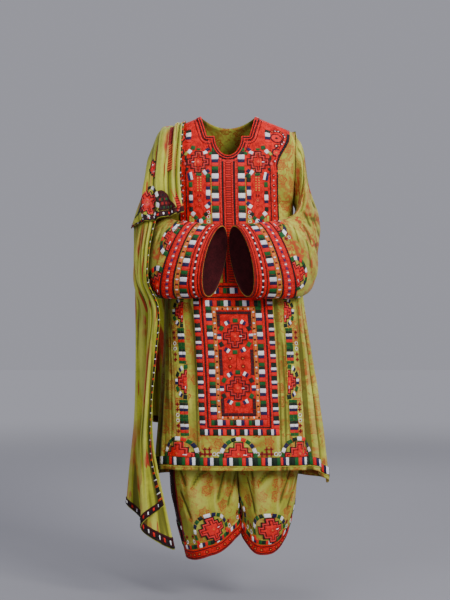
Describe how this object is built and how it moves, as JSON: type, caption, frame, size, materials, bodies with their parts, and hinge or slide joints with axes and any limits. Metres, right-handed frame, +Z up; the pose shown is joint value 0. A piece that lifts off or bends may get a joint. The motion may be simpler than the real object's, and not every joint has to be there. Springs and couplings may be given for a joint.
{
  "type": "balochi dress",
  "caption": "Worn Balochi dress set: hollow embroidered tunic with wide cuffs and a long front pocket panel, loose trousers, and a shawl over the right shoulder.",
  "frame": {"origin": "between the shoulders, level with the tunic's shoulder seams near the neck, where the wearer or a hanger holds it up", "axes": "+Z up, the front faces -Y, the wearer's left is +X"},
  "size_m": [0.6268, 0.4823, 1.3639],
  "materials": {
    "printed_cloth": "matt lime cloth with rust-coloured print",
    "shawl_cloth": "matt lime tie-dyed cloth",
    "needlework": "dense red needlework with green, navy and white blocks, slight thread sheen",
    "neck_band": "dark maroon and red needlework band"
  },
  "bodies": {
    "root": {"chest_panel_left": "needlework", "chest_panel_right": "needlework", "cuff_left": "needlework", "cuff_right": "needlework", "forearm_left": "printed_cloth", "forearm_right": "printed_cloth", "hem_band_back": "needlework", "hem_band_front": "needlework", "leg_cuff_left": "needlework", "leg_cuff_right": "needlework", "leg_left": "printed_cloth", "leg_right": "printed_cloth", "neck_band_back": "neck_band", "neck_band_front": "neck_band", "placket": "needlework", "pocket_panel": "needlework", "shalwar_seat": "printed_cloth", "shawl_back": "shawl_cloth", "shawl_back_border": "needlework", "shawl_fall": "shawl_cloth", "shawl_fall_border": "needlework", "shawl_shoulder": "shawl_cloth", "shawl_shoulder_border": "needlework", "skirt_strip_left": "needlework", "skirt_strip_right": "needlework", "sleeve_left": "printed_cloth", "sleeve_right": "printed_cloth", "tunic_back": "printed_cloth", "tunic_front": "printed_cloth", "waist_casing": "printed_cloth"}
  },
  "joints": []
}
